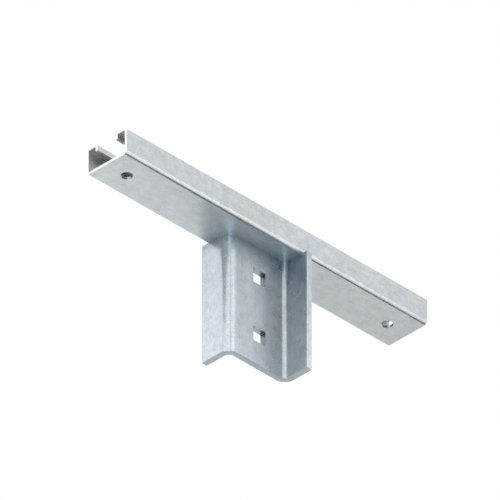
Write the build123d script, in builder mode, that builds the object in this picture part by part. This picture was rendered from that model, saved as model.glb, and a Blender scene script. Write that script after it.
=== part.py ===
from build123d import *
import os

# A welded bracket: a lipped channel rail, slot upward, on a thick plate folded into a Z.
# Millimetres, +X along the rail, +Z up, front of the bracket towards -Y.
# The origin is midway between the rail's two round holes, on the underside of the rail.

# Rail
rail_length = 300.0
rail_width = 40.0
rail_height = 22.5
rail_sheet = 2.0
rail_bend_outer = 3.0
rail_bend_inner = 0.4       # tight folds, where the sheet thins a little
slot_width = 18.0
lip_drop = 6.0              # depth of the turned-down lip edge, from the rail's top face
end_hole_diameter = 9.0
end_hole_inset = 20.0       # hole centre to the rail's end

# Z plate, its top edge against the rail's underside
plate_sheet = 5.0
plate_bend_inner = 4.0
plate_width = 60.8
plate_depth = 49.2
plate_height = 100.0
square_hole_side = 12.0
square_hole_corner = 0.6
square_hole_edge = 25.0     # hole centres to the plate's top and bottom edges
end_edge_round = 0.5        # upright edges at the ends of the flanges
bottom_edge_round = 0.3

# Fillet welds
weld_leg = 3.0
weld_bulge = 0.5            # how far the bead's face stands out from a flat one
weld_margin = 0.5           # end of a bead to the start of a bend

# Places worked out from the sizes above
lip_end = rail_height - lip_drop
end_hole_x = rail_length / 2 - end_hole_inset
plate_bend_outer = plate_bend_inner + plate_sheet
plate_left = -plate_width / 2
plate_right = plate_width / 2
web_front = -plate_sheet / 2
web_back = plate_sheet / 2

os.makedirs("parts", exist_ok=True)


# Rail: one strip bent into a channel, with inward lips that turn down at the slot
with BuildPart() as c_rail:
    with BuildSketch(Plane.YZ):
        with BuildLine():
            for inset, bend in ((0, rail_bend_outer), (rail_sheet, rail_bend_inner)):
                lip = slot_width / 2 + inset
                side = rail_width / 2 - inset
                top = rail_height - inset
                FilletPolyline(
                    (lip, lip_end),
                    (lip, top),
                    (side, top),
                    (side, inset),
                    (-side, inset),
                    (-side, top),
                    (-lip, top),
                    (-lip, lip_end),
                    radius=bend,
                )
            Line((slot_width / 2, lip_end), (slot_width / 2 + rail_sheet, lip_end))
            Line((-slot_width / 2, lip_end), (-slot_width / 2 - rail_sheet, lip_end))
        make_face()
    extrude(amount=rail_length / 2, both=True)
    with Locations((-end_hole_x, 0, rail_sheet), (end_hole_x, 0, rail_sheet)):
        Hole(radius=end_hole_diameter / 2, depth=rail_sheet)

c_rail.part.label = "c_rail"


# Z plate: left flange to the back, web under the rail's middle, right flange to the front
with BuildPart() as z_plate:
    with BuildSketch(Plane.XY.offset(-plate_height)):
        with BuildLine():
            FilletPolyline(
                (plate_left, plate_depth / 2),
                (plate_left, web_front),
                (plate_right - plate_sheet, web_front),
                (plate_right - plate_sheet, -plate_depth / 2),
                radius=[plate_bend_outer, plate_bend_inner],
            )
            offset(amount=plate_sheet, side=Side.LEFT)
        make_face()
    extrude(amount=plate_height)
    uprights = z_plate.edges().filter_by(Axis.Z).group_by(Axis.Y)
    fillet(uprights[0] + uprights[-1], radius=end_edge_round)

    # Square holes, one above the other in the web
    with BuildSketch(Plane.XZ.offset(-web_front)):
        with Locations((0, -square_hole_edge), (0, square_hole_edge - plate_height)):
            RectangleRounded(square_hole_side, square_hole_side, square_hole_corner)
    extrude(amount=-plate_sheet, mode=Mode.SUBTRACT)

    fillet(z_plate.edges().group_by(Axis.Z)[0], radius=bottom_edge_round)

z_plate.part.label = "z_plate"


def fillet_weld(start, run_direction, outward, run):
    """A convex bead in the corner under the rail, with quarter-round ends."""
    with BuildPart() as bead:
        with BuildSketch(Plane(origin=start, x_dir=outward, z_dir=run_direction)):
            with BuildLine():
                Polyline((0, -weld_leg), (0, 0), (weld_leg, 0))
                SagittaArc((weld_leg, 0), (0, -weld_leg), weld_bulge)
            make_face()
        extrude(amount=run)
        along = Axis(start, run_direction)
        first = bead.faces().sort_by(along)[0]
        last = bead.faces().sort_by(along)[-1]
        finish = Vector(start) + Vector(run_direction) * run
        revolve(first, axis=Axis(start, (0, 0, 1)), revolution_arc=90)
        revolve(last, axis=Axis(finish, (0, 0, 1)), revolution_arc=-90)
    return bead


# Weld along the back of the web
web_weld_start = plate_left + plate_sheet + plate_bend_inner + weld_margin + weld_leg
web_weld_end = plate_right - plate_bend_outer - weld_margin - weld_leg
web_weld = fillet_weld((web_weld_start, web_back, 0), (1, 0, 0), (0, 1, 0), web_weld_end - web_weld_start)
web_weld.part.label = "web_weld"


# Weld along the outer side of the right flange, where the rail's underside is flat
flange_weld_start = web_back - plate_bend_outer - weld_margin - weld_leg
flange_weld_end = rail_bend_outer - rail_width / 2 + weld_leg
flange_weld = fillet_weld((plate_right, flange_weld_start, 0), (0, -1, 0), (1, 0, 0),
                          flange_weld_start - flange_weld_end)
flange_weld.part.label = "flange_weld"


export_step(c_rail.part, "parts/c_rail.step")
export_step(z_plate.part, "parts/z_plate.step")
export_step(web_weld.part, "parts/web_weld.step")
export_step(flange_weld.part, "parts/flange_weld.step")
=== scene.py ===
import math
import random

import bmesh
import bpy
from mathutils import Matrix, Vector


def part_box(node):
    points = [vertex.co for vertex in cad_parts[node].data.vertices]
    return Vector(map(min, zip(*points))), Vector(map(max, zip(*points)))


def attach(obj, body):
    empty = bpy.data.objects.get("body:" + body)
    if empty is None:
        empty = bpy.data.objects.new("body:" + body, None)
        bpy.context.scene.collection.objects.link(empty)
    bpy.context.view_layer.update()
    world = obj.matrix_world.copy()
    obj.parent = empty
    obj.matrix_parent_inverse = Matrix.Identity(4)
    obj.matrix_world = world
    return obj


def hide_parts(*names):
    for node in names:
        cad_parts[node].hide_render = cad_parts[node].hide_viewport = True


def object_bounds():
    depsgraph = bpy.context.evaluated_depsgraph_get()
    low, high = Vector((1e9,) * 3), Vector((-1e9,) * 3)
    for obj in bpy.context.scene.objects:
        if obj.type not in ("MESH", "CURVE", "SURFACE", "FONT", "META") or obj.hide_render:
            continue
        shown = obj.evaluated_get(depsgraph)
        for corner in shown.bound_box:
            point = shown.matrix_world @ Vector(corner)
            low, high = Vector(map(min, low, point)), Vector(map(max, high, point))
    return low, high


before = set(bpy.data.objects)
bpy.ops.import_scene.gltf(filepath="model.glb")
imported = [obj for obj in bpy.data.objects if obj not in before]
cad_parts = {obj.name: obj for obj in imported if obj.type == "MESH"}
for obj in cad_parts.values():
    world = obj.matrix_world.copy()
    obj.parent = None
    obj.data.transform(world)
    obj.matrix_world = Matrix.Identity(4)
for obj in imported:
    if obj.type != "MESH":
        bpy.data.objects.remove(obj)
cad_low, cad_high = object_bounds()
scene = bpy.context.scene

# Places read from the frame, metres
rail_low, rail_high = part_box("c_rail")
plate_low, plate_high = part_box("z_plate")
web_weld_low, web_weld_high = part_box("web_weld")
flange_weld_low, flange_weld_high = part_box("flange_weld")
whole_middle = (cad_low + cad_high) / 2

# Directions
X_AXIS = (1.0, 0.0, 0.0)
Y_AXIS = (0.0, 1.0, 0.0)
Z_AXIS = (0.0, 0.0, 1.0)
DIAGONAL = Vector((math.sqrt(0.5), math.sqrt(0.5), 0.0))

# Camera: the photo is a parallel view from below the front left of the bracket
VIEW_RIGHT = Vector((0.70624, -0.70797, 0.0))
VIEW_UP = Vector((-0.40242, -0.40144, 0.82274))
FRAME_WIDTH = 0.35261
FRAME_CENTRE_RIGHT = -0.00484
FRAME_CENTRE_UP = -0.00006
CAMERA_DISTANCE = 0.45
CLIP_START = 0.01
CLIP_END = 20.0

# Colours of the lamps and of the sky
WHITE = (1.0, 1.0, 1.0)
PALE_BLUE = (0.66, 0.89, 1.0)

# Floor and sky
FLOOR_BELOW = 0.52
FLOOR_RADIUS = 6.0
FLOOR_SIDES = 96
FLOOR_COLOUR = (0.92, 0.92, 0.92)
FLOOR_ROUGHNESS = 0.9
FLOOR_SHINE = 0.5
SKY_STRENGTH = 1.0

# Grey cards, which keep the white room out of some reflections: middle, facing, width, height, grey
CARDS = {
    "card_below": ((0.36, -0.105, -0.45), (0.0, 0.0, 1.0), 1.10, 0.29, 0.02),
    "card_front": ((-0.55, -0.58, -0.14), (0.68, 0.72, 0.0), 0.90, 0.50, 0.40),
    "card_middle": ((-0.42, -0.70, 0.57), (0.42, 0.70, -0.57), 0.18, 0.45, 0.90),
    "card_low_right": ((0.525, 0.46, -0.45), (0.0, 0.0, 1.0), 0.16, 0.20, 0.72),
}
CARD_ROUGHNESS = 1.0
CARD_SHINE = 0.0

# Soft boxes, which face the bracket: middle, width, height, colour, glow beside that of the white room
SOFT_BOXES = {
    "box_right": ((0.40, -0.95, -0.05), 0.75, 0.95, WHITE, 0.55),
    "box_left": ((-0.640, 0.542, 0.60), 0.88, 0.6, WHITE, 0.47),
    "box_middle": ((-0.813, -0.264, 0.60), 0.91, 0.6, WHITE, 0.20),
    "box_front": ((-0.162, -0.833, 0.58), 1.10, 0.5, WHITE, 0.26),
    "box_under": ((0.05, 0.27, -0.20), 0.22, 0.16, WHITE, 0.20),
    "box_low_front": ((-0.327, -0.400, -0.418), 0.24, 0.20, PALE_BLUE, 3.8),
}

# Sizes of the rail and the plate, as in the solids
RAIL_SHEET = 0.002
SLOT_WIDTH = 0.018
LIP_DROP = 0.006
END_HOLE_INSET = 0.020
END_HOLE_RADIUS = 0.0045
PLATE_SHEET = 0.005
INNER_BEND_RADIUS = 0.004
OUTER_BEND_RADIUS = INNER_BEND_RADIUS + PLATE_SHEET
WEB_FRONT = -PLATE_SHEET / 2
HOLE_SIDE = 0.012
HOLE_EDGE = 0.025

# Layers of every zinc coat: size, detail and roughness of the noise
CLOUDS = (0.030, 3.0, 0.55)
BLOTCHES = (0.0075, 4.0, 0.6)
DRAWN_LINES = (0.012, 3.0, 0.6)
GRAIN = (0.0012, 2.0, 0.6)
HUES = (0.012, 2.0, 0.5)
RELIEF = (0.0075, 2.0, 0.6)

# How strongly each layer changes the tone; the weight of the grain belongs to each coat
CLOUD_WEIGHT = 0.20
BLOTCH_WEIGHT = 0.30
CRYSTAL_WEIGHT = 0.07
LINE_WEIGHT = 0.26
TONE_RANGE = 0.25
MIDDLE_TONE = 0.5
NOISE_LOW = 0.3
NOISE_HIGH = 0.7

# Zinc crystals
CRYSTAL_SIZE = 0.0040
CRYSTAL_SMOOTHNESS = 0.35
CRYSTAL_WARP = 0.0022
WARP_DETAIL = 2.0
WARP_ROUGHNESS = 0.5

# Surface of every zinc coat
METAL_SHARE = 0.88
ROUGHNESS_RANGE = 0.03
BUMP_STRENGTH = 0.35
BUMP_HEIGHT = 0.00008

# How many times finer the drawn lines are along x, y and z
ALONG_RAIL = (1.0, 9.0, 9.0)
UP_PLATE = (9.0, 9.0, 1.0)
NO_DIRECTION = (1.0, 1.0, 1.0)

# Coats: colour, roughness, weight of the grain, change of hue, fineness of the drawn lines
RAIL_COAT = ((0.555, 0.588, 0.606), 0.24, 0.48, 0.009, ALONG_RAIL)
PLATE_COAT = ((0.500, 0.553, 0.587), 0.29, 0.54, 0.012, UP_PLATE)
# The weld's colour is darker as painted shade of the seam; its higher roughness is its own
WELD_COAT = ((0.400, 0.436, 0.460), 0.40, 0.60, 0.015, NO_DIRECTION)

# Marks: a tint multiplies the colour, and a roughness is added to that of the coat
# Painted shade along the seam, darker where the rail and the plate meet: its reach, then its tints on the
# rail and on the plate
SEAM_SHADE_REACH = 0.0095
RAIL_SEAM_SHADE_TINT = (0.88, 0.91, 0.93)
PLATE_SEAM_SHADE_TINT = (0.68, 0.72, 0.75)
UNDERSIDE_ROUGHNESS = 0.12
# Painted light: the inside of the rail made paler; the added roughness makes that coat duller
INSIDE_LIGHT_TINT = (1.12, 1.07, 1.04)
INSIDE_ROUGHNESS = 0.35
# Painted shade: the walls of the round holes darker; the roughness taken off makes them glossier
BORE_SHADE_TINT = (0.80, 0.80, 0.80)
BORE_ROUGHNESS = -0.16
HOLE_MARGIN = 0.001         # keeps the roof and the sill of a square hole out of its mark
# Painted shade: the upright walls of the square holes darker
HOLE_SHADE_TINT = (0.47, 0.48, 0.49)
# Painted shade, deepest in the upper corners inside the square holes: its reach and its tint
HOLE_CORNER_SHADE_REACH = 0.0036
HOLE_CORNER_SHADE_TINT = (0.30, 0.30, 0.31)
# Painted shade: the plate darker towards the rail above it
TOP_SHADE_TINT = (0.79, 0.80, 0.81)
INNER_CORNER_LEFT = -0.004  # x where the painted shade on the web starts
# Painted shade: the web and the inner bend darker towards the right flange
INNER_CORNER_SHADE_TINT = (0.92, 0.92, 0.92)
# Painted highlight: a bright line in the hollow of the inner bend
HOLLOW_HIGHLIGHT_REACH = 0.002
HOLLOW_HIGHLIGHT_TINT = (1.26, 1.26, 1.26)
# Painted highlight on the round outer sides of the plate's bends: where it starts and where it is full, then
# its tint and its roughness
BEND_HIGHLIGHT_EDGE_DEPTH = 0.00124    # below the crown of the bend
BEND_HIGHLIGHT_FULL_DEPTH = 0.00054    # below the crown of the bend
BEND_HIGHLIGHT_TINT = (1.27, 1.27, 1.27)
BEND_ROUGHNESS = -0.02
CUT_DEPTH = 0.0001          # how near to a face a point counts as on it
CUT_ROUGHNESS = 0.10
# Painted light: the cut ends of the rail and of the plate's flanges made paler
RAIL_END_LIGHT_TINT = (1.50, 1.43, 1.40)
PLATE_END_LIGHT_TINT = (1.24, 1.20, 1.18)
# Painted shade: the plate's bottom face darker
PLATE_FOOT_SHADE_TINT = (0.86, 0.86, 0.86)

# Weld beads
RIPPLE_PITCH = 0.0016
RIPPLE_DEPTH = 0.00022
RIPPLE_LAG = 0.0011     # how far the middle of a ripple bows along the bead
RIPPLE_SHARPNESS = 1.6
RINGS_PER_RIPPLE = 8
END_RINGS = 12
SECTION_POINTS = 12
MERGE_DISTANCE = 1e-7
BEAD_BULGE = 0.0005
BEAD_WOBBLE = 0.00007
WOBBLE_WAVES = 3
SLOWEST_WAVE = 150      # radians a metre
FASTEST_WAVE = 900      # radians a metre
BEAD_SEED = 4


def add_object(name, data):
    """A new object in the scene."""
    made = bpy.data.objects.new(name, data)
    scene.collection.objects.link(made)
    return made


def finished_mesh(name, form):
    """A mesh from a bmesh form, which is used up."""
    mesh = bpy.data.meshes.new(name)
    form.to_mesh(mesh)
    form.free()
    return mesh


def aim(thing, place, direction):
    """Puts thing at place, with its local +Z along direction."""
    thing.location = place
    thing.rotation_mode = "QUATERNION"
    thing.rotation_quaternion = Vector(direction).to_track_quat("Z", "Y")


def new_material(name):
    """A new material, with its node tree and its one Principled shader."""
    material = bpy.data.materials.new(name)
    material.use_nodes = True
    return material, material.node_tree, material.node_tree.nodes["Principled BSDF"]


def node(tree, kind, **settings):
    """A new node with some of its settings."""
    made = tree.nodes.new(kind)
    for key, value in settings.items():
        setattr(made, key, value)
    return made


def plug(tree, socket, value):
    """Links value to a socket, or sets it there where it is a plain number, vector or colour."""
    if isinstance(value, bpy.types.NodeSocket):
        tree.links.new(value, socket)
    elif socket.type == "RGBA":
        socket.default_value = (*value, 1.0)
    else:
        socket.default_value = value


def matt_paint(name, colour, roughness, shine):
    """A plain paint, the same all over."""
    material, tree, shader = new_material(name)
    plug(tree, shader.inputs["Base Color"], colour)
    plug(tree, shader.inputs["Roughness"], roughness)
    plug(tree, shader.inputs["Specular IOR Level"], shine)
    return material


def noise_node(tree, place, size, detail, roughness):
    """Noise whose blotches are about size across."""
    texture = node(tree, "ShaderNodeTexNoise")
    plug(tree, texture.inputs["Scale"], 1 / size)
    plug(tree, texture.inputs["Detail"], detail)
    plug(tree, texture.inputs["Roughness"], roughness)
    plug(tree, texture.inputs["Vector"], place)
    return texture


def noise_level(tree, place, layer):
    """The level, from 0 to 1, of a layer given as size, detail and roughness."""
    return noise_node(tree, place, *layer).outputs["Fac"]


def math_node(tree, operation, *values):
    """The result of one step of arithmetic."""
    made = node(tree, "ShaderNodeMath", operation=operation)
    for socket, value in zip(made.inputs, values):
        plug(tree, socket, value)
    return made.outputs["Value"]


def vector_node(tree, operation, *values):
    """The result of one step of vector arithmetic, a number or a vector."""
    made = node(tree, "ShaderNodeVectorMath", operation=operation)
    for socket, value in zip(made.inputs, values):
        plug(tree, socket, value)
    return made.outputs["Value" if operation in ("LENGTH", "DOT_PRODUCT") else "Vector"]


def remap(tree, value, low, high, to_low, to_high, course="LINEAR"):
    """value brought from one range to another, and kept inside it."""
    ranged = node(tree, "ShaderNodeMapRange", interpolation_type=course)
    for key, setting in (("Value", value), ("From Min", low), ("From Max", high),
                         ("To Min", to_low), ("To Max", to_high)):
        plug(tree, ranged.inputs[key], setting)
    return ranged.outputs["Result"]


def fade(tree, distance, reach):
    """1 where distance is 0, falling softly to 0 at reach."""
    return remap(tree, distance, 0.0, reach, 1.0, 0.0, "SMOOTHSTEP")


def blend(tree, share, first, second, kind="MIX"):
    """first where share is 0; where it is 1, second, or first times second."""
    mixed = node(tree, "ShaderNodeMix", data_type="RGBA", blend_type=kind)
    plug(tree, mixed.inputs["Factor"], share)
    plug(tree, mixed.inputs["A"], first)
    plug(tree, mixed.inputs["B"], second)
    return mixed.outputs["Result"]


def tinted(colour, factor, warm=0.0):
    """colour made lighter or darker, and a little warmer or cooler."""
    red, green, blue = colour
    return (red * factor * (1 + warm), green * factor, blue * factor * (1 - warm))


def squeezed(tree, place, fineness):
    """place scaled up along each axis, which makes a pattern finer there by as much."""
    mapping = node(tree, "ShaderNodeMapping")
    plug(tree, mapping.inputs["Scale"], fineness)
    plug(tree, mapping.inputs["Vector"], place)
    return mapping.outputs["Vector"]


def distance_along(tree, place, axis):
    """How far place lies from the origin along an axis."""
    return vector_node(tree, "DOT_PRODUCT", place, axis)


def box_distance(tree, place, low, high):
    """How far place lies outside the box from low to high."""
    from_middle = vector_node(tree, "ABSOLUTE", vector_node(tree, "SUBTRACT", place, (low + high) / 2))
    beyond = vector_node(tree, "SUBTRACT", from_middle, (high - low) / 2)
    return vector_node(tree, "LENGTH", vector_node(tree, "MAXIMUM", beyond, (0.0, 0.0, 0.0)))


def nearest_distance(tree, place, boxes):
    """How far place lies outside the nearest of some boxes."""
    nearest, *others = [box_distance(tree, place, low, high) for low, high in boxes]
    for distance in others:
        nearest = math_node(tree, "MINIMUM", nearest, distance)
    return nearest


def rail_seam_shade(tree, place):
    """Painted shade on the rail, darker round the plate's top edge where the two parts meet."""
    half_web = Vector((0, PLATE_SHEET / 2, 0))
    web_low = Vector((plate_low.x, 0, plate_low.z))
    web_high = Vector((plate_high.x, 0, plate_high.z))
    walls = (
        (web_low - half_web, web_high + half_web),
        (web_low, Vector((plate_low.x + PLATE_SHEET, plate_high.y, plate_high.z))),
        (Vector((plate_high.x - PLATE_SHEET, plate_low.y, plate_low.z)), web_high),
    )
    return fade(tree, nearest_distance(tree, place, walls), SEAM_SHADE_REACH)


def rail_underside(tree, place):
    """The flat underside of the rail."""
    return math_node(tree, "LESS_THAN", distance_along(tree, place, Z_AXIS), rail_low.z + CUT_DEPTH)


def rail_inside(tree, place):
    """The inside of the rail, which takes painted light, fading over the thickness of its sheet, without the
    slot's own faces.
    """
    wall = Vector((0, RAIL_SHEET, RAIL_SHEET))
    from_inside = box_distance(tree, place, rail_low + wall, rail_high - wall)
    mouth_low = Vector((rail_low.x, -SLOT_WIDTH / 2, rail_high.z - LIP_DROP))
    mouth_high = Vector((rail_high.x, SLOT_WIDTH / 2, rail_high.z))
    from_mouth = box_distance(tree, place, mouth_low, mouth_high)
    return math_node(tree, "MULTIPLY", remap(tree, from_inside, 0.0, RAIL_SHEET, 1.0, 0.0),
                     remap(tree, from_mouth, 0.0, RAIL_SHEET / 2, 0.0, 1.0))


def round_holes(tree, place):
    """The walls of the rail's two round holes, which take painted shade, folded onto one by absolute values.
    """
    flat = vector_node(tree, "MULTIPLY", vector_node(tree, "ABSOLUTE", place), (1.0, 1.0, 0.0))
    from_axis = vector_node(tree, "SUBTRACT", flat, (rail_high.x - END_HOLE_INSET, 0.0, 0.0))
    return math_node(tree, "LESS_THAN", vector_node(tree, "LENGTH", from_axis), END_HOLE_RADIUS + CUT_DEPTH)


def plate_seam_shade(tree, place):
    """Painted shade on the plate, darker under the rail where the two parts meet."""
    return fade(tree, box_distance(tree, place, rail_low, rail_high), SEAM_SHADE_REACH)


def square_holes(tree, place):
    """The upright walls of the two square holes, which take painted shade."""
    half_hole = Vector((HOLE_SIDE, PLATE_SHEET, HOLE_SIDE - HOLE_MARGIN)) / 2
    middles = [Vector((0, 0, height)) for height in (plate_low.z + HOLE_EDGE, plate_high.z - HOLE_EDGE)]
    holes = [(middle - half_hole, middle + half_hole) for middle in middles]
    return math_node(tree, "LESS_THAN", nearest_distance(tree, place, holes), CUT_DEPTH)


def hole_corner_shade(tree, place):
    """Painted shade in the upper corners inside the two square holes, both sides folded onto one by absolute
    values.
    """
    folded = vector_node(tree, "ABSOLUTE", place)
    deepest = 0.0
    for depth in (HOLE_EDGE, plate_high.z - plate_low.z - HOLE_EDGE):
        top = depth - HOLE_SIDE / 2
        rim = Vector((HOLE_SIDE / 2, PLATE_SHEET / 2, top))
        opening = box_distance(tree, folded, Vector((0, 0, top)), rim + Vector((0, 0, HOLE_SIDE)))
        inside = math_node(tree, "LESS_THAN", opening, CUT_DEPTH)
        from_corner = box_distance(tree, folded, Vector((HOLE_SIDE / 2, 0, top)), rim)
        near = fade(tree, from_corner, HOLE_CORNER_SHADE_REACH)
        deepest = math_node(tree, "MAXIMUM", deepest, math_node(tree, "MULTIPLY", inside, near))
    return deepest


def top_shade(tree, place):
    """Painted shade on the plate, darker towards the rail."""
    return remap(tree, distance_along(tree, place, Z_AXIS), plate_low.z, plate_high.z, 0.0, 1.0)


def inner_corner_shade(tree, place):
    """Painted shade on the front of the web towards the right flange, and in the bend between them."""
    low = Vector((INNER_CORNER_LEFT, WEB_FRONT - INNER_BEND_RADIUS, plate_low.z))
    high = Vector((plate_high.x - PLATE_SHEET, WEB_FRONT, plate_high.z))
    return fade(tree, box_distance(tree, place, low, high), INNER_BEND_RADIUS)


def hollow_highlight(tree, place):
    """A painted highlight in the hollow of the bend between the front of the web and the right flange."""
    to_middle = INNER_BEND_RADIUS * (1 - math.sqrt(0.5))
    middle_x = plate_high.x - PLATE_SHEET - to_middle
    middle_y = WEB_FRONT - to_middle
    foot = Vector((middle_x, middle_y, plate_low.z))
    head = Vector((middle_x, middle_y, plate_high.z))
    return fade(tree, box_distance(tree, place, foot, head), HOLLOW_HIGHLIGHT_REACH)


def bend_highlight(tree, place):
    """A painted highlight on the round outer sides of the plate's two bends, which lie farthest out along x +
    y.
    """
    centre = Vector((plate_high.x - OUTER_BEND_RADIUS, PLATE_SHEET / 2 - OUTER_BEND_RADIUS, 0))
    crown = centre.dot(DIAGONAL) + OUTER_BEND_RADIUS
    outward = math_node(tree, "ABSOLUTE", distance_along(tree, place, DIAGONAL))
    return remap(tree, outward, crown - BEND_HIGHLIGHT_EDGE_DEPTH, crown - BEND_HIGHLIGHT_FULL_DEPTH, 0.0, 1.0, "SMOOTHSTEP")


def cut_face(axis, outermost):
    """A mask for the outermost faces along an axis, both ways."""
    def mask(tree, place):
        outward = math_node(tree, "ABSOLUTE", distance_along(tree, place, axis))
        return math_node(tree, "GREATER_THAN", outward, outermost - CUT_DEPTH)

    return mask


def crystals(tree, place):
    """A random level for each zinc crystal, with soft uneven borders."""
    drift = noise_node(tree, place, CRYSTAL_SIZE, WARP_DETAIL, WARP_ROUGHNESS)
    push = vector_node(tree, "MULTIPLY_ADD", drift.outputs["Color"], (CRYSTAL_WARP,) * 3, place)
    cells = node(tree, "ShaderNodeTexVoronoi", feature="SMOOTH_F1")
    plug(tree, cells.inputs["Scale"], 1 / CRYSTAL_SIZE)
    plug(tree, cells.inputs["Smoothness"], CRYSTAL_SMOOTHNESS)
    plug(tree, cells.inputs["Vector"], push)
    level = node(tree, "ShaderNodeSeparateColor")
    plug(tree, level.inputs["Color"], cells.outputs["Color"])
    return level.outputs["Red"]


def zinc(name, coat, marks=()):
    """Galvanised steel: soft clouds, blotches, faint crystals, drawn lines, a fine grain, and marks.

    Each mark is a mask, the factor of its colour, and the roughness that it adds.
    """
    colour, roughness, grain_weight, hue_range, fineness = coat
    material, tree, shader = new_material(name)
    place = node(tree, "ShaderNodeTexCoord").outputs["Object"]
    blotches = noise_level(tree, place, BLOTCHES)
    layers = (
        (noise_level(tree, place, CLOUDS), CLOUD_WEIGHT),
        (blotches, BLOTCH_WEIGHT),
        (crystals(tree, place), CRYSTAL_WEIGHT),
        (noise_level(tree, squeezed(tree, place, fineness), DRAWN_LINES), LINE_WEIGHT),
        (noise_level(tree, place, GRAIN), grain_weight),
    )

    tone = MIDDLE_TONE
    for level, weight in layers:
        share = weight / (2 * TONE_RANGE)
        change = math_node(tree, "MULTIPLY_ADD", level, share, -MIDDLE_TONE * share)
        tone = math_node(tree, "ADD", tone, change)
    grey = blend(tree, tone, tinted(colour, 1 - TONE_RANGE), tinted(colour, 1 + TONE_RANGE))
    warmth = remap(tree, noise_level(tree, place, HUES), NOISE_LOW, NOISE_HIGH, 0.0, 1.0)
    hue = blend(tree, warmth, tinted(WHITE, 1.0, hue_range), tinted(WHITE, 1.0, -hue_range))
    painted = blend(tree, 1.0, grey, hue, "MULTIPLY")
    matt = remap(tree, blotches, NOISE_LOW, NOISE_HIGH,
                 roughness - ROUGHNESS_RANGE, roughness + ROUGHNESS_RANGE)
    for mask, tint, added_roughness in marks:
        share = mask(tree, place)
        painted = blend(tree, share, painted, tint, "MULTIPLY")
        matt = math_node(tree, "MULTIPLY_ADD", share, added_roughness, matt)
    plug(tree, shader.inputs["Base Color"], painted)
    plug(tree, shader.inputs["Roughness"], matt)
    plug(tree, shader.inputs["Metallic"], METAL_SHARE)

    bump = node(tree, "ShaderNodeBump")
    plug(tree, bump.inputs["Strength"], BUMP_STRENGTH)
    plug(tree, bump.inputs["Distance"], BUMP_HEIGHT)
    plug(tree, bump.inputs["Height"], noise_level(tree, place, RELIEF))
    plug(tree, shader.inputs["Normal"], bump.outputs["Normal"])
    return material


def rail_zinc():
    """The coat of the rail's strip, with painted light on its pale cut ends and its inside, and painted shade
    round the seam and in its round holes.
    """
    return zinc("rail_zinc_look", RAIL_COAT, (
        (rail_seam_shade, RAIL_SEAM_SHADE_TINT, 0.0),
        (rail_underside, WHITE, UNDERSIDE_ROUGHNESS),
        (rail_inside, INSIDE_LIGHT_TINT, INSIDE_ROUGHNESS),
        (round_holes, BORE_SHADE_TINT, BORE_ROUGHNESS),
        (cut_face(X_AXIS, rail_high.x), RAIL_END_LIGHT_TINT, CUT_ROUGHNESS),
    ))


def plate_zinc():
    """The coat of the thick plate, with painted light on the pale ends of the flanges, on its bends and in
    the hollow of its inner bend, and painted shade round the seam, at its top and foot, in its inner corner
    and in its square holes.
    """
    return zinc("plate_zinc_look", PLATE_COAT, (
        (plate_seam_shade, PLATE_SEAM_SHADE_TINT, 0.0),
        (square_holes, HOLE_SHADE_TINT, 0.0),
        (hole_corner_shade, HOLE_CORNER_SHADE_TINT, 0.0),
        (top_shade, TOP_SHADE_TINT, 0.0),
        (inner_corner_shade, INNER_CORNER_SHADE_TINT, 0.0),
        (hollow_highlight, HOLLOW_HIGHLIGHT_TINT, 0.0),
        (bend_highlight, BEND_HIGHLIGHT_TINT, BEND_ROUGHNESS),
        (cut_face(Y_AXIS, plate_high.y), PLATE_END_LIGHT_TINT, CUT_ROUGHNESS),
        (cut_face(Z_AXIS, -plate_low.z), PLATE_FOOT_SHADE_TINT, CUT_ROUGHNESS),
    ))


def weld_zinc():
    """The rougher coat of the weld beads, darker as painted shade of the seam that they lie in."""
    return zinc("weld_zinc_look", WELD_COAT)


def dress(node_name, material):
    """Gives a CAD node one material."""
    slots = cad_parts[node_name].data.materials
    slots.clear()
    slots.append(material)


def slow_wobble(maker):
    """A small smooth change of a bead's size along its length, always inward."""
    waves = [(maker.uniform(SLOWEST_WAVE, FASTEST_WAVE), maker.uniform(0, 2 * math.pi))
             for _ in range(WOBBLE_WAVES)]

    def wobble(along):
        return BEAD_WOBBLE * sum(1 + math.sin(rate * along + start) for rate, start in waves) / 2

    return wobble


def bead_face_point(share, leg, wobble):
    """A point of the round face, as its outward and downward reach at a place along the bead."""
    hump = 4 * share * (1 - share)
    swell = BEAD_BULGE * hump / math.sqrt(2)
    out = leg * (1 - share) + swell
    down = leg * share + swell

    def reach(along):
        phase = 2 * math.pi * (along + RIPPLE_LAG * hump) / RIPPLE_PITCH
        crest = (0.5 + 0.5 * math.cos(phase)) ** RIPPLE_SHARPNESS
        shrink = 1 - (RIPPLE_DEPTH * (1 - crest) + wobble(along)) / leg
        return out * shrink, down * shrink

    return reach


def bead_ring(corner, outward, face, along):
    """One closed ring of a bead: the inner corner, then the points of its round face."""
    ring = [corner]
    for reach in face:
        out, down = reach(along)
        ring.append(corner + outward * out + Vector((0, 0, -down)))
    return ring


def bead_rings(start, run_direction, outward, run, leg, face):
    """The rings of a bead: a quarter turn, the straight run, and another quarter turn."""
    finish = start + run_direction * run
    turn = 1 if run_direction.cross(outward).z > 0 else -1
    straight_rings = round(run / RIPPLE_PITCH * RINGS_PER_RIPPLE)
    rings = []
    for i in range(END_RINGS):
        angle = math.pi / 2 * (1 - i / END_RINGS)
        swung = Matrix.Rotation(turn * angle, 3, "Z") @ outward
        rings.append(bead_ring(start, swung, face, -leg * angle / 2))
    for i in range(straight_rings + 1):
        along = run * i / straight_rings
        rings.append(bead_ring(start + run_direction * along, outward, face, along))
    for i in range(1, END_RINGS + 1):
        angle = math.pi / 2 * i / END_RINGS
        swung = Matrix.Rotation(-turn * angle, 3, "Z") @ outward
        rings.append(bead_ring(finish, swung, face, run + leg * angle / 2))
    return rings


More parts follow.
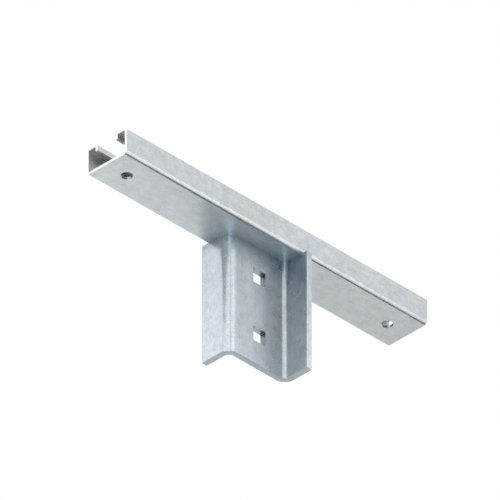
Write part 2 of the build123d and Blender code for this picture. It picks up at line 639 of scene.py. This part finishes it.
def make_bead(name, start, run_direction, outward, run, leg, maker):
    """A rippled fillet weld with quarter-round ends, in the corner under the rail."""
    wobble = slow_wobble(maker)
    face = [bead_face_point(i / SECTION_POINTS, leg, wobble) for i in range(SECTION_POINTS + 1)]
    form = bmesh.new()
    rows = [[form.verts.new(point) for point in ring]
            for ring in bead_rings(start, run_direction, outward, run, leg, face)]
    for row, following in zip(rows, rows[1:]):
        for i in range(len(row)):
            j = (i + 1) % len(row)
            quad = form.faces.new((row[i], row[j], following[j], following[i]))
            quad.smooth = 0 < i < len(row) - 1
    form.faces.new(rows[0])
    form.faces.new(list(reversed(rows[-1])))
    bmesh.ops.remove_doubles(form, verts=form.verts, dist=MERGE_DISTANCE)
    bmesh.ops.recalc_face_normals(form, faces=form.faces)
    return add_object(name, finished_mesh(name, form))


def make_camera():
    """The parallel view of the photo."""
    camera = add_object("camera", bpy.data.cameras.new("camera"))
    camera.data.type = "ORTHO"
    camera.data.ortho_scale = FRAME_WIDTH
    camera.data.clip_start = CLIP_START
    camera.data.clip_end = CLIP_END
    toward = VIEW_RIGHT.cross(VIEW_UP).normalized()
    centre = VIEW_RIGHT * FRAME_CENTRE_RIGHT + VIEW_UP * FRAME_CENTRE_UP
    aim(camera, centre + toward * CAMERA_DISTANCE, toward)
    scene.camera = camera


def make_floor():
    """A wide pale floor, well below the bracket."""
    form = bmesh.new()
    bmesh.ops.create_circle(form, cap_ends=True, radius=FLOOR_RADIUS, segments=FLOOR_SIDES,
                            matrix=Matrix.Translation((0, 0, -FLOOR_BELOW)))
    floor = add_object("floor", finished_mesh("floor", form))
    floor.data.materials.append(matt_paint("floor_paint", FLOOR_COLOUR, FLOOR_ROUGHNESS, FLOOR_SHINE))


def make_sky():
    """An even white sky, the same all round."""
    world = bpy.data.worlds.new("studio")
    world.use_nodes = True
    background = world.node_tree.nodes["Background"]
    plug(world.node_tree, background.inputs["Color"], WHITE)
    plug(world.node_tree, background.inputs["Strength"], SKY_STRENGTH)
    scene.world = world


def make_card(name, middle, direction, width, height, grey):
    """A flat grey card that only reflections and bounced light see."""
    form = bmesh.new()
    bmesh.ops.create_grid(form, x_segments=1, y_segments=1, size=0.5)
    bmesh.ops.scale(form, vec=(width, height, 1.0), verts=form.verts)
    card = add_object(name, finished_mesh(name, form))
    aim(card, middle, direction)
    card.visible_camera = False
    card.visible_shadow = False
    card.data.materials.append(matt_paint(name + "_paint", (grey, grey, grey), CARD_ROUGHNESS, CARD_SHINE))


def make_soft_box(name, middle, width, height, colour, glow):
    """A flat lamp that faces the bracket."""
    light = bpy.data.lights.new(name, "AREA")
    light.color = colour
    light.shape = "RECTANGLE"
    light.size = width
    light.size_y = height
    light.energy = glow * math.pi * width * height
    lamp = add_object(name, light)
    aim(lamp, middle, Vector(middle) - whole_middle)
    lamp.visible_camera = False


make_camera()
make_floor()
make_sky()
for card_name, card_sizes in CARDS.items():
    make_card(card_name, *card_sizes)
for box_name, box_sizes in SOFT_BOXES.items():
    make_soft_box(box_name, *box_sizes)

dress("c_rail", rail_zinc())
dress("z_plate", plate_zinc())

# Rippled beads in place of the plain welds under the rail, inside the same boxes
weld_look = weld_zinc()
weld_leg = web_weld_high.z - web_weld_low.z
web_start = Vector((web_weld_low.x + weld_leg, web_weld_low.y, web_weld_high.z))
web_run = web_weld_high.x - web_weld_low.x - 2 * weld_leg
flange_start = Vector((flange_weld_low.x, flange_weld_high.y - weld_leg, flange_weld_high.z))
flange_run = flange_weld_high.y - flange_weld_low.y - 2 * weld_leg
beads = {
    "web_weld": ("web_bead", web_start, Vector(X_AXIS), Vector(Y_AXIS), web_run),
    "flange_weld": ("flange_bead", flange_start, -Vector(Y_AXIS), Vector(X_AXIS), flange_run),
}
bead_maker = random.Random(BEAD_SEED)
for node_name, (bead_name, bead_start, bead_direction, bead_outward, bead_run) in beads.items():
    weld_bead = make_bead(bead_name, bead_start, bead_direction, bead_outward, bead_run, weld_leg, bead_maker)
    weld_bead.data.materials.append(weld_look)
    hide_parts(node_name)
    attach(weld_bead, "root")

scene.view_settings.view_transform = "Standard"
